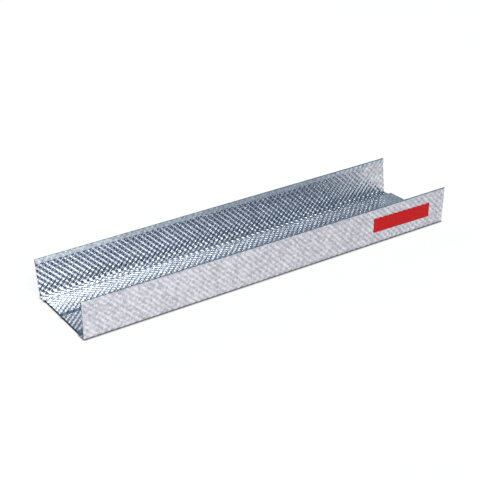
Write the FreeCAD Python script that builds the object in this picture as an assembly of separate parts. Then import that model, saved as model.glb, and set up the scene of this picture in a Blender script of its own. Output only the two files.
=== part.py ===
import FreeCAD, Part
import math
import os

# A drywall track: a channel that is roll-formed from one strip of zinc-coated steel sheet.
# Sizes are in millimetres and angles in degrees. X runs along the track, Y across it from front to back,
# and Z up. The origin is on the floor, under the middle of the track.

# Overall
track_length = 300.0
web_width = 70.0              # between the outer faces of the flanges, at the floor
flange_height = 29.0          # from the floor to the top of the hems
sheet_thickness = 0.5

# Flanges, which open out a little when nothing holds them
flange_lean = 4.5
corner_inner_radius = 0.5     # bend between web and flange

# Hems: the flanges' top edges, folded in, with the folded leaf standing a little open
hem_depth = 3.4
hem_gap = 0.3                 # inside the fold
hem_opening = 12.0            # between leaf and flange

# Web: a flat foot beside each flange, then a raised panel on each side of a groove along the middle
foot_width = 6.0
panel_rise = 2.0
panel_slope_run = 3.5         # width of the slope between foot and panel
panel_inner_radius = 2.0      # bends at both ends of that slope
groove_depth = 1.0
groove_floor_width = 0.6
groove_wall_run = 1.5         # width of each sloping wall of the groove
groove_inner_radius = 0.6

shortest_run = 1e-6           # a straight run shorter than this is left out


def section_vector(y, z):
    return FreeCAD.Vector(0.0, y, z)


def left_of(direction):
    """The direction a quarter turn to the left, in the section's plane."""
    return section_vector(-direction.z, direction.y)


def bent_sheet(corners, inner_radii):
    """Section of a sheet of even thickness whose mid-line is folded at each inner corner of a path.

    A radius is limited where two bends share a run that is too short for both.
    """
    half = sheet_thickness / 2
    sides = {half: [], -half: []}
    run_starts = {}
    last = len(corners) - 1

    def add_line(side, end):
        if run_starts[side].distanceToPoint(end) > shortest_run:
            sides[side].append(Part.LineSegment(run_starts[side], end).toShape())
        run_starts[side] = end

    for side in sides:
        first_run = (corners[1] - corners[0]).normalize()
        run_starts[side] = corners[0] + left_of(first_run) * side

    for index in range(1, last):
        run_in = corners[index] - corners[index - 1]
        run_out = corners[index + 1] - corners[index]
        room = min(run_in.Length if index == 1 else run_in.Length / 2,
                   run_out.Length if index == last - 1 else run_out.Length / 2)
        run_in.normalize()
        run_out.normalize()
        turn = math.atan2(run_in.cross(run_out).x, run_in.dot(run_out))
        bend_side = math.copysign(1.0, turn)
        radius = min(inner_radii[index - 1] + half, room / math.tan(abs(turn) / 2))
        tangent = radius * math.tan(abs(turn) / 2)
        bend_start = corners[index] - run_in * tangent
        bend_end = corners[index] + run_out * tangent
        centre = bend_start + left_of(run_in) * (bend_side * radius)
        to_middle = (left_of(run_in) + left_of(run_out)).normalize() * -bend_side
        for side in sides:
            arc_end = bend_end + left_of(run_out) * side
            add_line(side, bend_start + left_of(run_in) * side)
            arc_middle = centre + to_middle * (radius - bend_side * side)
            sides[side].append(Part.Arc(run_starts[side], arc_middle, arc_end).toShape())
            run_starts[side] = arc_end

    last_run = (corners[last] - corners[last - 1]).normalize()
    for side in sides:
        add_line(side, corners[last] + left_of(last_run) * side)

    end_cut = Part.LineSegment(run_starts[half], run_starts[-half]).toShape()
    first_run = (corners[1] - corners[0]).normalize()
    start_cut = Part.LineSegment(corners[0] - left_of(first_run) * half,
                                 corners[0] + left_of(first_run) * half).toShape()
    outline = sides[half] + [end_cut] + sides[-half][::-1] + [start_cut]
    return Part.Face(Part.Wire(outline))


def half_path():
    """Mid-line corners and inner bend radii from the middle of the web to the edge of the back hem."""
    half = sheet_thickness / 2
    lean = math.radians(flange_lean)
    opening = math.radians(hem_opening)
    up_flange = section_vector(math.sin(lean), math.cos(lean))
    inward = section_vector(-math.cos(lean), math.sin(lean))
    down_leaf = inward * math.sin(opening) - up_flange * math.cos(opening)
    floor_corner = section_vector(web_width / 2, 0.0)

    panel_level = half + panel_rise
    slope_foot = web_width / 2 - foot_width
    web_corners = [
        section_vector(groove_floor_width / 2, panel_level - groove_depth),
        section_vector(groove_floor_width / 2 + groove_wall_run, panel_level),
        section_vector(slope_foot - panel_slope_run, panel_level),
        section_vector(slope_foot, half),
    ]
    web_radii = [groove_inner_radius, groove_inner_radius, panel_inner_radius, panel_inner_radius]

    corner_rise = half * (1 - math.sin(lean)) / math.cos(lean)
    flange_foot = floor_corner + inward * half + up_flange * corner_rise

    fold_radius = hem_gap / 2 + sheet_thickness
    fold_mid_radius = hem_gap / 2 + half
    fold_flat = fold_mid_radius * (1 - math.tan((math.pi / 2 - opening) / 2))
    fold_top = flange_height - fold_radius - (fold_radius + fold_flat) * math.sin(lean)
    fold_outer = floor_corner + inward * half + up_flange * (fold_top / math.cos(lean) + fold_mid_radius)
    fold_inner = fold_outer + inward * (2 * fold_mid_radius)
    hem_edge = fold_inner + down_leaf * (hem_depth - half)
    flange_corners = [flange_foot, fold_outer, fold_inner, hem_edge]
    flange_radii = [corner_inner_radius, hem_gap / 2, hem_gap / 2]
    return web_corners + flange_corners, web_radii + flange_radii


def make_track():
    back_corners, back_radii = half_path()
    front_corners = [section_vector(-corner.y, corner.z) for corner in reversed(back_corners)]
    section = bent_sheet(front_corners + back_corners, back_radii[::-1] + back_radii)
    section.translate(FreeCAD.Vector(-track_length / 2, 0, 0))
    return section.extrude(FreeCAD.Vector(track_length, 0, 0))


os.makedirs("parts", exist_ok=True)
track = make_track()
track.exportStep("parts/track.step")
print("track", "valid" if track.isValid() else "not valid", round(track.Volume, 1), "mm3", track.BoundBox)
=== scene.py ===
import bpy
import math
import numpy as np
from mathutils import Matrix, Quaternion, Vector


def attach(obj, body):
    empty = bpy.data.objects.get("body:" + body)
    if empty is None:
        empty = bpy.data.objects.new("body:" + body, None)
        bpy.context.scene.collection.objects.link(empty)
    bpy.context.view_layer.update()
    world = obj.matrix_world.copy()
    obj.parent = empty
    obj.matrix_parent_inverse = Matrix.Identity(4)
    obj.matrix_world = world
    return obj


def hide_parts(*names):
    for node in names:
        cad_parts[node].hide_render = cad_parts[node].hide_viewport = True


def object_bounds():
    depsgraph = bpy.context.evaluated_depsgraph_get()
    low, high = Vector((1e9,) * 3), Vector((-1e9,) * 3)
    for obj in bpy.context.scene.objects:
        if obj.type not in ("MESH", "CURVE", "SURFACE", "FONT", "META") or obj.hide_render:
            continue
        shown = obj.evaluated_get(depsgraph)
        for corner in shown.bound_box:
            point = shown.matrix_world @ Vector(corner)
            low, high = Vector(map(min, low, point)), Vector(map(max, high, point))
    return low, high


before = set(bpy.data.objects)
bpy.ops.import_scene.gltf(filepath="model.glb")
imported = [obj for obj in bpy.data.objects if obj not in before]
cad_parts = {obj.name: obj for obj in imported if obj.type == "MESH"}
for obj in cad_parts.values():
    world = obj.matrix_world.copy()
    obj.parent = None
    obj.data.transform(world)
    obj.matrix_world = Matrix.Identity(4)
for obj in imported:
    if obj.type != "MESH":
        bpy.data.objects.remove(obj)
cad_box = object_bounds()

# A drywall track: a strip of hot-dip galvanised steel, embossed all over with dimples and then roll-formed
# into a channel, with a blank vinyl label on its front flange. Metres, in the frame of the CAD model:
# X runs along the track, Y across it from front to back, and Z up from the floor.

mm = 0.001

# Section of the track, as in the CAD model
track_length = cad_box[1].x - cad_box[0].x
flange_height = cad_box[1].z - cad_box[0].z
web_width = 70.0 * mm
sheet_thickness = 0.5 * mm
flange_lean = math.radians(4.5)
corner_inner_radius = 0.5 * mm
hem_depth = 3.4 * mm
hem_gap = 0.3 * mm
hem_opening = math.radians(12.0)
foot_width = 6.0 * mm
panel_rise = 2.0 * mm
panel_slope_run = 3.5 * mm
panel_inner_radius = 2.0 * mm
groove_depth = 1.0 * mm
groove_floor_width = 0.6 * mm
groove_wall_run = 1.5 * mm
groove_inner_radius = 0.6 * mm

# Dimples, in staggered rows across the strip: bumps and dents take turns along each row
dimple_pitch = 4.49 * mm
dimple_depth = 0.32 * mm            # from the top of a bump to the bottom of a dent
first_bump = 1.83 * mm              # from the left end of the track, in the first row
first_row = 5.74 * mm               # from the top of the back flange, half way along the track
row_skew = 0.0059                   # slope of the rows to the strip's edges
groove_take_up = dimple_pitch / 2   # shift of the rows in front of the groove
sharp_bend = 1.0 * mm               # mid-line radius below which a bend irons the dimples
bend_emboss = 0.25                  # share of the dimples' depth that such a bend leaves
hem_emboss = 0.1                    # share that closing the hem leaves
web_emboss = 0.72                   # share that shaping the web leaves
emboss_fade = 1.0 * mm              # length over which the depth changes
emboss_step = 0.05 * mm             # between the places where the share of the depth is worked out

# Meshes
mesh_step = dimple_pitch / 4        # along and across the flat parts of the track
clear_step = mesh_step / 3          # left free beside a bend or an end
smallest_step = 0.001 * mm          # two places closer than this count as one
bend_step = math.radians(15)        # turn of a facet in the bends
bend_points = 24                    # points of the mid-line in a bend
sharp_edge = math.radians(50)       # angle from which an edge is shaded as sharp

# Label on the front flange
label_length = 52.0 * mm
label_height = 11.4 * mm
label_middle = 110.0 * mm           # from the middle of the track
label_rise = 14.8 * mm              # of the label's middle, up the flange
label_tilt = math.radians(-1.0)
film_thickness = 0.1 * mm
film_telegraph = 0.25               # share of the dimples' depth that shows through the film
film_step = 0.55 * mm

# Camera, as the track's corners place it in the photograph
camera_place = Vector((-0.3972, -0.6396, 0.3817))
camera_aim = Vector((0.0093, 0.0295, 0.0))
camera_roll = math.radians(-2.34)
focal_length_per_width = 2.427
nearest_seen = 10.0 * mm

# Colours and gloss. A roughness with two values is a range.
zinc = "#E0E1E8"
zinc_shadow = "#BCBDC7"
zinc_roughness = (0.09, 0.19)
# Painted shade: the cut edges are coloured near black, darker than bare steel, for the shadow along the ends
sheared_steel_with_painted_shade = "#4A4B4F"
sheared_roughness = (0.45, 0.65)
vinyl_red = "#BC060B"
vinyl_red_deep = "#B0050A"
vinyl_roughness = (0.5, 0.6)
vinyl_ior = 1.5
vinyl_specular = 0.2                # 0.5 for a plain face, less because the grain traps light
floor_white = "#F6F6F6"
floor_white_worn = "#F3F3F3"
floor_roughness = 0.5

# Light: a dim blue room with five soft lamps, which are a strong one high in front, a low one in front, a
# small one low at the front right, a broad one behind, and a weak one behind at the right. A lamp has a
# bearing from straight behind the track towards +X, a rise above the floor, the angle from its middle to
# where it is half as bright, all three in degrees, and the radiance of its middle.
room_blue = "#5E7787"
lamp_white = "#FBFFF9"
soft_lamps = [
    (184, 47, 13, 13.0),
    (172, 4, 13, 1.4),
    (139, 2, 5, 1.4),
    (-13, 29, 13, 7.0),
    (46, 23, 14, 0.35),
]
backdrop_white = "#FFFFFF"

# Glow below the floor, which only the metal mirrors. It fades along the track and grows downwards.
below_radiance = 0.82
below_slope = (-0.45, 0.0, 0.55)    # change with the size of a direction's x, y and z

# Floor
floor_size = 12.0
floor_glow = 0.85                   # share of the floor's white that light on it doesn't change
# Painted shadow: the floor's glow, for the eye and in the metal, is darkened under the track and close by
contact_shadow = 2.0 * mm           # reach of the painted shadow that darkens the glow near the track
contact_depth = 2.0                 # power of that shadow
cover_fade = 0.5 * mm               # width over which the painted shadow under the track fades, inside its edges


def linear(hex_colour):
    """An sRGB hex colour as a linear colour with alpha."""
    parts = [int(hex_colour[i:i + 2], 16) / 255 for i in (1, 3, 5)]
    return [p / 12.92 if p <= 0.04045 else ((p + 0.055) / 1.055) ** 2.4 for p in parts] + [1.0]


def add_node(tree, kind, inputs=None, **settings):
    """Adds a node. Settings are its properties, and inputs are its sockets' values or the sockets to link."""
    node = tree.nodes.new(kind)
    for name, value in settings.items():
        setattr(node, name, value)
    for name, value in (inputs or {}).items():
        if isinstance(value, bpy.types.NodeSocket):
            tree.links.new(value, node.inputs[name])
        else:
            node.inputs[name].default_value = value
    return node


def new_material(name):
    """An empty material, with its node tree and its surface socket."""
    material = bpy.data.materials.new(name)
    material.use_nodes = True
    tree = material.node_tree
    tree.nodes.clear()
    surface = add_node(tree, "ShaderNodeOutputMaterial").inputs["Surface"]
    return material, tree, surface


# Sockets of Blender's mix node when it mixes colours
mix_first = 6
mix_second = 7
mix_result = 2


def dimple_normal(tree):
    """Normal of the dimples' true waves, which the mesh follows in quarters of their pitch."""
    waves = add_node(tree, "ShaderNodeAttribute", attribute_name="waves").outputs["Vector"]
    angles = add_node(tree, "ShaderNodeSeparateXYZ", {"Vector": waves}).outputs
    normal = add_node(tree, "ShaderNodeAttribute", attribute_name="sheet_normal").outputs["Vector"]
    lengthwise = (1.0, 0.0, 0.0)
    crosswise = add_node(tree, "ShaderNodeVectorMath", {0: normal, 1: lengthwise}, operation="CROSS_PRODUCT")
    for direction, rising, even in ((lengthwise, "X", "Y"), (crosswise.outputs["Vector"], "Y", "X")):
        sine = add_node(tree, "ShaderNodeMath", {0: angles[rising]}, operation="SINE").outputs["Value"]
        cosine = add_node(tree, "ShaderNodeMath", {0: angles[even]}, operation="COSINE").outputs["Value"]
        slope = sine
        for factor in (cosine, angles["Z"]):
            product = add_node(tree, "ShaderNodeMath", {0: slope, 1: factor}, operation="MULTIPLY")
            slope = product.outputs["Value"]
        tilt = add_node(tree, "ShaderNodeVectorMath", {0: direction, "Scale": slope}, operation="SCALE")
        both = add_node(tree, "ShaderNodeVectorMath", {0: normal, 1: tilt.outputs["Vector"]}, operation="ADD")
        normal = both.outputs["Vector"]
    turned = add_node(tree, "ShaderNodeVectorTransform", {"Vector": normal},
                      vector_type="NORMAL", convert_from="OBJECT", convert_to="WORLD")
    return turned.outputs["Vector"]


def galvanised_steel():
    """Hot-dip galvanised steel strip, skin-passed between rollers and then embossed.

    The zinc is a soft, slightly blue mirror. Its crystals and broader patches differ in tone and gloss, and
    the rollers leave faint lines along the strip.
    """
    material, tree, surface = new_material("galvanised_steel")
    place = add_node(tree, "ShaderNodeTexCoord").outputs["Object"]

    crystal_size = 1.6 * mm
    crystals = add_node(tree, "ShaderNodeTexVoronoi", {"Vector": place, "Scale": 1 / crystal_size})
    crystal_tone = add_node(tree, "ShaderNodeSeparateColor", {"Color": crystals.outputs["Color"]})
    patch_size = 9.0 * mm
    patches = add_node(tree, "ShaderNodeTexNoise", {"Vector": place, "Scale": 1 / patch_size, "Detail": 3.0})
    patch_share = 0.45
    both = add_node(tree, "ShaderNodeMix", {
        "Factor": patch_share, "A": crystal_tone.outputs["Red"], "B": patches.outputs["Fac"],
    })
    tone_range = (0.3, 0.7)
    tone = add_node(tree, "ShaderNodeMapRange", {
        "Value": both.outputs["Result"], "From Min": tone_range[0], "From Max": tone_range[1],
    })
    colour = add_node(tree, "ShaderNodeMix", data_type="RGBA", inputs={
        "Factor": tone.outputs["Result"], mix_first: linear(zinc_shadow), mix_second: linear(zinc),
    })

    line_length = 60.0 * mm
    line_width = 0.8 * mm
    stretched = add_node(tree, "ShaderNodeMapping", {
        "Vector": place,
        "Scale": (1 / line_length, 1 / line_width, 1 / line_width),
    })
    roller_lines = add_node(tree, "ShaderNodeTexNoise", {
        "Vector": stretched.outputs["Vector"], "Scale": 1.0, "Detail": 2.0,
    })
    line_share = 0.6
    gloss = add_node(tree, "ShaderNodeMix", {
        "Factor": line_share, "A": crystal_tone.outputs["Green"], "B": roller_lines.outputs["Fac"],
    })
    roughness = add_node(tree, "ShaderNodeMapRange", {
        "Value": gloss.outputs["Result"], "To Min": zinc_roughness[0], "To Max": zinc_roughness[1],
    })
    shader = add_node(tree, "ShaderNodeBsdfPrincipled", {
        "Base Color": colour.outputs[mix_result],
        "Metallic": 1.0,
        "Roughness": roughness.outputs["Result"],
        "Normal": dimple_normal(tree),
    })
    tree.links.new(shader.outputs["BSDF"], surface)
    return material


def sheared_edge_with_painted_shade():
    """Bare edge of steel sheet, cut by a flying shear: dull, with a smooth and a torn band. Its near-black
    colour, darker than bare steel, is painted shade for the shadow along the cut ends.
    """
    material, tree, surface = new_material("sheared_edge_with_painted_shade")
    place = add_node(tree, "ShaderNodeTexCoord").outputs["Object"]
    tear_size = 0.8 * mm
    tears = add_node(tree, "ShaderNodeTexNoise", {"Vector": place, "Scale": 1 / tear_size, "Detail": 2.0})
    roughness = add_node(tree, "ShaderNodeMapRange", {
        "Value": tears.outputs["Fac"], "To Min": sheared_roughness[0], "To Max": sheared_roughness[1],
    })
    shader = add_node(tree, "ShaderNodeBsdfPrincipled", {
        "Base Color": linear(sheared_steel_with_painted_shade),
        "Metallic": 1.0,
        "Roughness": roughness.outputs["Result"],
    })
    tree.links.new(shader.outputs["BSDF"], surface)
    return material


def vinyl_film():
    """Calendered vinyl film with a matt face: an even red, a little deeper where the film is stretched. The
    fine grain of the face traps most of what it would mirror."""
    material, tree, surface = new_material("vinyl_film")
    place = add_node(tree, "ShaderNodeTexCoord").outputs["Object"]
    cloud_size = 6.0 * mm
    clouds = add_node(tree, "ShaderNodeTexNoise", {"Vector": place, "Scale": 1 / cloud_size, "Detail": 2.0})
    colour = add_node(tree, "ShaderNodeMix", data_type="RGBA", inputs={
        "Factor": clouds.outputs["Fac"], mix_first: linear(vinyl_red_deep), mix_second: linear(vinyl_red),
    })
    roughness = add_node(tree, "ShaderNodeMapRange", {
        "Value": clouds.outputs["Fac"], "To Min": vinyl_roughness[0], "To Max": vinyl_roughness[1],
    })
    shader = add_node(tree, "ShaderNodeBsdfPrincipled", {
        "Base Color": colour.outputs[mix_result],
        "Roughness": roughness.outputs["Result"],
        "IOR": vinyl_ior,
        "Specular IOR Level": vinyl_specular,
    })
    tree.links.new(shader.outputs["BSDF"], surface)
    return material


def white_floor():
    """Matt white painted board, lit from below, so that it stays white to the eye.

    The glow has a painted shadow: it is darkened under the track by the track's footprint, and close by
    with an occlusion pass, for the eye and for the metal, which mirrors nothing else of the board. The lamps
    on the board add a soft shadow.
    """
    material, tree, surface = new_material("white_floor")
    place = add_node(tree, "ShaderNodeTexCoord").outputs["Object"]
    cloud_size = 300.0 * mm
    clouds = add_node(tree, "ShaderNodeTexNoise", {"Vector": place, "Scale": 1 / cloud_size, "Detail": 2.0})
    colour = add_node(tree, "ShaderNodeMix", data_type="RGBA", inputs={
        "Factor": clouds.outputs["Fac"], mix_first: linear(floor_white_worn), mix_second: linear(floor_white),
    })
    paint = add_node(tree, "ShaderNodeBsdfDiffuse", {
        "Color": colour.outputs[mix_result], "Roughness": floor_roughness,
    })

    # Painted shadow: an occlusion pass darkens the glow near the track, and the track's footprint darkens it
    # underneath; the metal, seeing through the board, mirrors the same painted shadow
    open_sky = add_node(tree, "ShaderNodeAmbientOcclusion", {"Distance": contact_shadow}).outputs["AO"]
    near_track = add_node(tree, "ShaderNodeMath", {0: open_sky, 1: contact_depth}, operation="POWER")
    sides = add_node(tree, "ShaderNodeSeparateXYZ", {"Vector": place}).outputs
    beyond = []
    for side, reach in ((sides["X"], track_length / 2), (sides["Y"], web_width / 2)):
        distance = add_node(tree, "ShaderNodeMath", {0: side}, operation="ABSOLUTE").outputs["Value"]
        past = add_node(tree, "ShaderNodeMath", {0: distance, 1: reach}, operation="SUBTRACT")
        beyond.append(past.outputs["Value"])
    outside = add_node(tree, "ShaderNodeMath", {0: beyond[0], 1: beyond[1]}, operation="MAXIMUM")
    uncovered = add_node(tree, "ShaderNodeMapRange", {
        "Value": outside.outputs["Value"], "From Min": -cover_fade, "From Max": 0.0,
    })
    strength = add_node(tree, "ShaderNodeMath", operation="MULTIPLY", inputs={
        0: near_track.outputs["Value"], 1: uncovered.outputs["Result"],
    }).outputs["Value"]
    glow = add_node(tree, "ShaderNodeEmission", {"Strength": strength})
    through = add_node(tree, "ShaderNodeBsdfTransparent", {"Color": strength})
    path = add_node(tree, "ShaderNodeLightPath").outputs
    glow_share = add_node(tree, "ShaderNodeMath", operation="MULTIPLY", inputs={
        0: path["Is Camera Ray"], 1: floor_glow,
    })
    board = add_node(tree, "ShaderNodeMixShader", {
        "Fac": glow_share.outputs["Value"], 1: paint.outputs["BSDF"], 2: glow.outputs["Emission"],
    })
    board = add_node(tree, "ShaderNodeMixShader", {
        "Fac": path["Is Glossy Ray"], 1: board.outputs["Shader"], 2: through.outputs["BSDF"],
    })
    tree.links.new(board.outputs["Shader"], surface)
    return material


def half_path():
    """Corners of the mid-line, as y + iz, and inner radii of its bends, from the middle of the web to the
    edge of the back hem."""
    half = sheet_thickness / 2
    up_flange = complex(math.sin(flange_lean), math.cos(flange_lean))
    inward = 1j * up_flange
    floor_corner = web_width / 2

    panel_level = half + panel_rise
    slope_foot = web_width / 2 - foot_width
    web_corners = [
        complex(groove_floor_width / 2, panel_level - groove_depth),
        complex(groove_floor_width / 2 + groove_wall_run, panel_level),
        complex(slope_foot - panel_slope_run, panel_level),
        complex(slope_foot, half),
    ]
    web_radii = [groove_inner_radius, groove_inner_radius, panel_inner_radius, panel_inner_radius]

    corner_rise = half * (1 - math.sin(flange_lean)) / math.cos(flange_lean)
    flange_start = floor_corner + inward * half
    flange_foot = flange_start + up_flange * corner_rise
    fold_radius = hem_gap / 2 + sheet_thickness
    fold_mid_radius = hem_gap / 2 + half
    fold_flat = fold_mid_radius * (1 - math.tan((math.pi / 2 - hem_opening) / 2))
    fold_top = flange_height - fold_radius - (fold_radius + fold_flat) * math.sin(flange_lean)
    fold_outer = flange_start + up_flange * (fold_top / math.cos(flange_lean) + fold_mid_radius)
    fold_inner = fold_outer + inward * (2 * fold_mid_radius)
    down_leaf = -up_flange * np.exp(-1j * hem_opening)
    hem_edge = fold_inner + down_leaf * (hem_depth - half)
    flange_corners = [flange_foot, fold_outer, fold_inner, hem_edge]
    flange_radii = [corner_inner_radius, hem_gap / 2, hem_gap / 2]
    return web_corners + flange_corners, web_radii + flange_radii


class FoldedStrip:
    """The strip's mid-line from the front hem to the back hem, measured along the flat strip from the web's
    middle."""

    def __init__(self):
        back_corners, back_radii = half_path()
        corners = [-c.conjugate() for c in reversed(back_corners)] + back_corners
        radii = [r + sheet_thickness / 2 for r in back_radii[::-1] + back_radii]
        self.bends = []
        self.distances = [0.0]
        self.points = [corners[0]]
        self.headings = [np.angle(corners[1] - corners[0])]
        for index in range(1, len(corners) - 1):
            self.add_bend(corners, index, radii[index - 1])
        self.add_run(corners[-1])
        self.distances = np.array(self.distances)
        middle = self.distances[-1] / 2
        self.distances -= middle
        self.bends = [(start - middle, end - middle, turn) for start, end, turn in self.bends]
        corner_bend, outer_fold = self.bends[-3:-1]
        self.web_end = corner_bend[0]
        self.flange_top = outer_fold[0]
        self.bump_row = self.flange_top - first_row + hem_gap / 2 + sheet_thickness
        self.points = np.array(self.points)
        self.headings = np.array(self.headings)
        self.set_emboss()

    def add_run(self, end):
        self.distances.append(self.distances[-1] + abs(end - self.points[-1]))
        self.points.append(end)
        self.headings.append(self.headings[-1])

    def add_bend(self, corners, index, radius):
        """Straight on to the bend at a corner, and round it. Its radius is limited by the runs beside it."""
        run_in = corners[index] - corners[index - 1]
        run_out = corners[index + 1] - corners[index]
        room_in = abs(run_in) if index == 1 else abs(run_in) / 2
        room_out = abs(run_out) if index == len(corners) - 2 else abs(run_out) / 2
        turn = np.angle(run_out / run_in)
        radius = min(radius, min(room_in, room_out) / math.tan(abs(turn) / 2))
        tangent = radius * math.tan(abs(turn) / 2)
        heading = self.headings[-1]
        direction = run_in / abs(run_in)
        self.add_run(corners[index] - direction * tangent)
        start = self.distances[-1]
        towards_centre = 1j * direction * math.copysign(1.0, turn)
        centre = self.points[-1] + towards_centre * radius
        for share in np.linspace(0, 1, bend_points + 1)[1:]:
            self.distances.append(start + radius * abs(turn) * share)
            self.points.append(centre - towards_centre * radius * np.exp(1j * turn * share))
            self.headings.append(heading + turn * share)
        self.bends.append((start, self.distances[-1], turn))

    def set_emboss(self):
        """Share of the dimples' depth across the strip: shaping the web flattens them a little, and the
        groove's middle, sharp bends and hems iron them out."""
        self.fine = np.arange(self.distances[0], self.distances[-1] + emboss_step, emboss_step)
        from_middle = np.abs(self.fine)
        share = np.where(from_middle < self.web_end, web_emboss, 1.0)
        for start, end, turn in self.bends:
            if end - start < sharp_bend * abs(turn):
                share[(self.fine >= start) & (self.fine <= end)] = bend_emboss
        share[from_middle < emboss_fade / 2] = 0.0
        share[from_middle > self.flange_top - emboss_fade / 2] = hem_emboss
        window = round(emboss_fade / emboss_step)
        padded = np.pad(share, window, mode="edge")
        self.emboss_share = np.convolve(padded, np.ones(window) / window, mode="same")[window:-window]

    def phases(self, along, across):
        """Angles of the dimples' waves along and across the strip. Both are 0 on top of a bump."""
        bump = along + track_length / 2 - first_bump
        row = across - row_skew * along - self.bump_row
        row = row + np.where(across < 0, groove_take_up, 0.0)
        return 2 * math.pi * bump / dimple_pitch, 2 * math.pi * row / dimple_pitch

    def emboss(self, along, across):
        """Height of the dimples towards the inside of the channel. The dents' bottoms stay at the plain
        sheet."""
        lengthwise, crosswise = self.phases(along, across)
        wave = np.cos(lengthwise) * np.cos(crosswise)
        return dimple_depth / 2 * (1 + wave) * np.interp(across, self.fine, self.emboss_share)

    def shading(self, along, across):
        """What the zinc's shader needs to light the mesh as the true waves: the angles and steepness of the
        waves, and the plain sheet's normals towards the inside."""
        lengthwise, crosswise = self.phases(along, across)
        share = np.interp(across, self.fine, self.emboss_share)
        steepness = math.pi * dimple_depth / dimple_pitch * share
        heading = np.interp(across, self.distances, self.headings)
        waves = np.stack([lengthwise, crosswise, steepness], axis=-1)
        normals = np.stack([0 * heading, -np.sin(heading), np.cos(heading)], axis=-1)
        return waves, normals

    def place(self, along, across, level):
        """Points at a level over the mid-line, towards the inside. The array's last axis is x, y, z."""
        y = np.interp(across, self.distances, self.points.real)
        z = np.interp(across, self.distances, self.points.imag)
        heading = np.interp(across, self.distances, self.headings)
        return np.stack([along + 0 * y, y - np.sin(heading) * level, z + np.cos(heading) * level], axis=-1)

    def embossed(self, along, across, level):
        return self.place(along, across, self.emboss(along, across) + level)

    def normals(self, along, across, level):
        """The embossed surface's own normals, towards the inside. They light a coarse mesh as a fine one."""
        step = 0.02 * mm
        lengthwise = self.embossed(along + step, across, level) - self.embossed(along - step, across, level)
        crosswise = self.embossed(along, across + step, level) - self.embossed(along, across - step, level)
        normal = np.cross(lengthwise, crosswise)
        return normal / np.linalg.norm(normal, axis=-1, keepdims=True)

    def stations(self):
        """Distances across the strip for the mesh: four to a pitch on the flats, and the bends' facets."""
        steps_to_edge = math.ceil((self.distances[0] - self.bump_row) / mesh_step)
        first = self.bump_row + mesh_step * steps_to_edge
        flats = np.arange(first, self.distances[-1], mesh_step)
        kept = [self.distances[0], self.distances[-1]]
        for start, end, turn in self.bends:
            facets = max(2, math.ceil(abs(turn) / bend_step))
            kept.extend(np.linspace(start, end, facets + 1))
        kept = np.array(kept)
        clear = [flat for flat in flats if np.abs(kept - flat).min() > clear_step]
        both = np.sort(np.concatenate([kept, clear]))
        return both[np.concatenate([[True], np.diff(both) > smallest_step])]


def closed_shell(name, upper, lower, face_material, rim_material, normals=None):
    """A mesh closed round its rim, from two grids of points of the same shape. The upper one's normal is
    along columns cross rows. Normals, where given, are those of the upper grid and then the lower one."""
    rows, columns = upper.shape[:2]
    count = rows * columns
    index = np.arange(count).reshape(rows, columns)
    a, b, c, d = index[:-1, :-1], index[:-1, 1:], index[1:, 1:], index[1:, :-1]
    upper_faces = np.stack([a, b, c, d], axis=-1).reshape(-1, 4)
    lower_faces = upper_faces[:, ::-1] + count
    rim = np.concatenate([index[0, :-1], index[:-1, -1], index[-1, :0:-1], index[:0:-1, 0]])
    ahead = np.roll(rim, -1)
    rim_faces = np.stack([rim + count, ahead + count, ahead, rim], axis=-1)
    faces = np.concatenate([upper_faces, lower_faces, rim_faces])
    points = np.concatenate([upper.reshape(-1, 3), lower.reshape(-1, 3)])

    mesh = bpy.data.meshes.new(name)
    mesh.from_pydata(points.tolist(), [], faces.tolist())
    mesh.materials.append(face_material)
    mesh.materials.append(rim_material)
    slots = np.zeros(len(faces), dtype=np.int32)
    slots[-len(rim_faces):] = 1
    mesh.polygons.foreach_set("material_index", slots)
    mesh.shade_smooth()
    mesh.set_sharp_from_angle(angle=sharp_edge)
    if normals is not None:
        at_corners = np.concatenate([grid.reshape(-1, 3) for grid in normals])[faces]
        at_corners[-len(rim_faces):] = 0.0
        mesh.normals_split_custom_set(at_corners.reshape(-1, 3).tolist())
    shell = bpy.data.objects.new(name, mesh)
    bpy.context.scene.collection.objects.link(shell)
    return shell


def make_track(strip):
    """The embossed sheet, cut square at both ends."""
    half = sheet_thickness / 2
    left = -track_length / 2
    first = left + first_bump % mesh_step
    columns = np.arange(first, -left, mesh_step)
    columns = columns[(columns > left + clear_step) & (columns < -left - clear_step)]
    along, across = np.meshgrid(np.concatenate([[left], columns, [-left]]), strip.stations())
    inside = strip.embossed(along, across, half)
    outside = strip.embossed(along, across, -half)
    normals = [strip.normals(along, across, half), -strip.normals(along, across, -half)]
    track = closed_shell("embossed_track", inside, outside, galvanised_steel(), sheared_edge_with_painted_shade(), normals)
    waves, sheet_normals = strip.shading(along, across)
    # Outside, the normal and the direction across the strip turn round, so the slope along it has to as well
    mirrored = waves * [-1, 1, 1]
    for name, inner, outer in (("waves", waves, mirrored), ("sheet_normal", sheet_normals, -sheet_normals)):
        attribute = track.data.attributes.new(name, "FLOAT_VECTOR", "POINT")
        attribute.data.foreach_set("vector", np.concatenate([inner, outer]).ravel())
    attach(track, "root")
    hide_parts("track")


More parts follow.
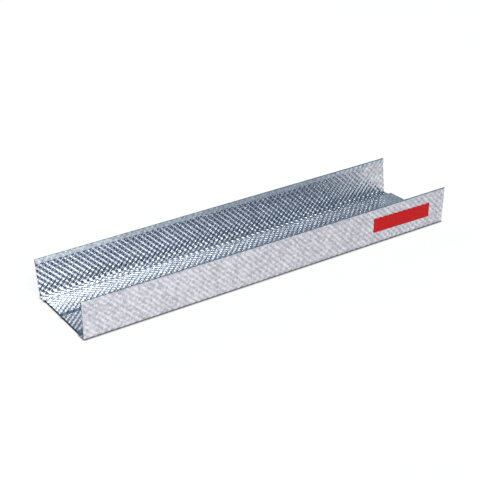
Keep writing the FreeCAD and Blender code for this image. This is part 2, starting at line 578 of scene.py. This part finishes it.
def make_label(strip):
    """A blank film, stuck on the outside of the front flange. It bridges the dents, so the dimples show
    faintly."""
    flange_top = -strip.flange_top
    flange_top_z = np.interp(flange_top, strip.distances, strip.points.imag)
    middle = flange_top + flange_top_z / math.cos(flange_lean) - label_rise
    along = np.linspace(-label_length / 2, label_length / 2, round(label_length / film_step) + 1)
    across = np.linspace(-label_height / 2, label_height / 2, round(label_height / film_step) + 1)
    along, across = np.meshgrid(along, across)
    turned_along = label_middle + along * math.cos(label_tilt) - across * math.sin(label_tilt)
    turned_across = middle + along * math.sin(-label_tilt) + across * math.cos(label_tilt)
    dent = strip.emboss(turned_along, turned_across)
    under = sheet_thickness / 2 - dent * film_telegraph
    back = strip.place(turned_along, turned_across, -under)
    face = strip.place(turned_along, turned_across, -under - film_thickness)
    film = vinyl_film()
    label = closed_shell("film_label", back, face, film, film)
    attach(label, "root")


def make_floor():
    half = floor_size / 2
    mesh = bpy.data.meshes.new("floor")
    corners = [(-half, -half, 0), (half, -half, 0), (half, half, 0), (-half, half, 0)]
    mesh.from_pydata(corners, [], [(0, 1, 2, 3)])
    mesh.materials.append(white_floor())
    floor = bpy.data.objects.new("floor", mesh)
    floor.location.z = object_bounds()[0].z
    bpy.context.scene.collection.objects.link(floor)


def light_scene():
    world = bpy.data.worlds.new("studio")
    world.use_nodes = True
    tree = world.node_tree
    tree.nodes.clear()
    direction = add_node(tree, "ShaderNodeTexCoord").outputs["Generated"]
    height = add_node(tree, "ShaderNodeSeparateXYZ", {"Vector": direction}).outputs["Z"]
    above = add_node(tree, "ShaderNodeMath", {0: height, 1: 0.0}, operation="GREATER_THAN").outputs["Value"]
    room = add_node(tree, "ShaderNodeBackground", {"Color": linear(room_blue), "Strength": above})

    path = add_node(tree, "ShaderNodeLightPath").outputs
    either_side = add_node(tree, "ShaderNodeVectorMath", {0: direction}, operation="ABSOLUTE")
    rising = add_node(tree, "ShaderNodeVectorMath", operation="DOT_PRODUCT", inputs={
        0: either_side.outputs["Vector"], 1: below_slope,
    })
    glow = add_node(tree, "ShaderNodeMath", {0: rising.outputs["Value"], 1: below_radiance}, operation="ADD")
    below = add_node(tree, "ShaderNodeMath", operation="SUBTRACT", use_clamp=True, inputs={
        0: path["Is Glossy Ray"], 1: above,
    })
    glow_below = add_node(tree, "ShaderNodeMath", operation="MULTIPLY", inputs={
        0: below.outputs["Value"], 1: glow.outputs["Value"],
    })
    floor_light = add_node(tree, "ShaderNodeBackground", {
        "Color": linear(backdrop_white), "Strength": glow_below.outputs["Value"],
    })

    radiance = 0.0
    for *angles, middle_radiance in soft_lamps:
        bearing, rise, half_bright = [math.radians(angle) for angle in angles]
        level = Vector((math.sin(bearing), math.cos(bearing), 0.0))
        towards = level * math.cos(rise) + Vector((0, 0, 1)) * math.sin(rise)
        near = add_node(tree, "ShaderNodeVectorMath", {0: direction, 1: towards}, operation="DOT_PRODUCT")
        falloff = math.log(2) / (1 - math.cos(half_bright))
        depth = add_node(tree, "ShaderNodeMath", operation="MULTIPLY_ADD", inputs={
            0: near.outputs["Value"], 1: falloff, 2: -falloff,
        })
        glow = add_node(tree, "ShaderNodeMath", {0: depth.outputs["Value"]}, operation="EXPONENT")
        both = add_node(tree, "ShaderNodeMath", operation="MULTIPLY_ADD", inputs={
            0: glow.outputs["Value"], 1: middle_radiance, 2: radiance,
        })
        radiance = both.outputs["Value"]
    lamps = add_node(tree, "ShaderNodeBackground", {"Color": linear(lamp_white), "Strength": radiance})
    studio = room.outputs["Background"]
    for light in (lamps, floor_light):
        both = add_node(tree, "ShaderNodeAddShader", {0: studio, 1: light.outputs["Background"]})
        studio = both.outputs["Shader"]
    backdrop = add_node(tree, "ShaderNodeBackground", {"Color": linear(backdrop_white)})
    seen = add_node(tree, "ShaderNodeMixShader", {
        "Fac": path["Is Camera Ray"], 1: studio, 2: backdrop.outputs["Background"],
    })
    add_node(tree, "ShaderNodeOutputWorld", {"Surface": seen.outputs["Shader"]})
    bpy.context.scene.world = world


def set_camera():
    data = bpy.data.cameras.new("camera")
    data.lens = data.sensor_width * focal_length_per_width
    data.clip_start = nearest_seen
    camera = bpy.data.objects.new("camera", data)
    camera.location = camera_place
    camera.rotation_mode = "QUATERNION"
    level = (camera_aim - camera_place).to_track_quat("-Z", "Y")
    camera.rotation_quaternion = level @ Quaternion((0, 0, 1), camera_roll)
    bpy.context.scene.collection.objects.link(camera)
    bpy.context.scene.camera = camera


strip = FoldedStrip()
make_track(strip)
make_label(strip)
make_floor()
light_scene()
set_camera()
bpy.context.scene.view_settings.view_transform = "Standard"
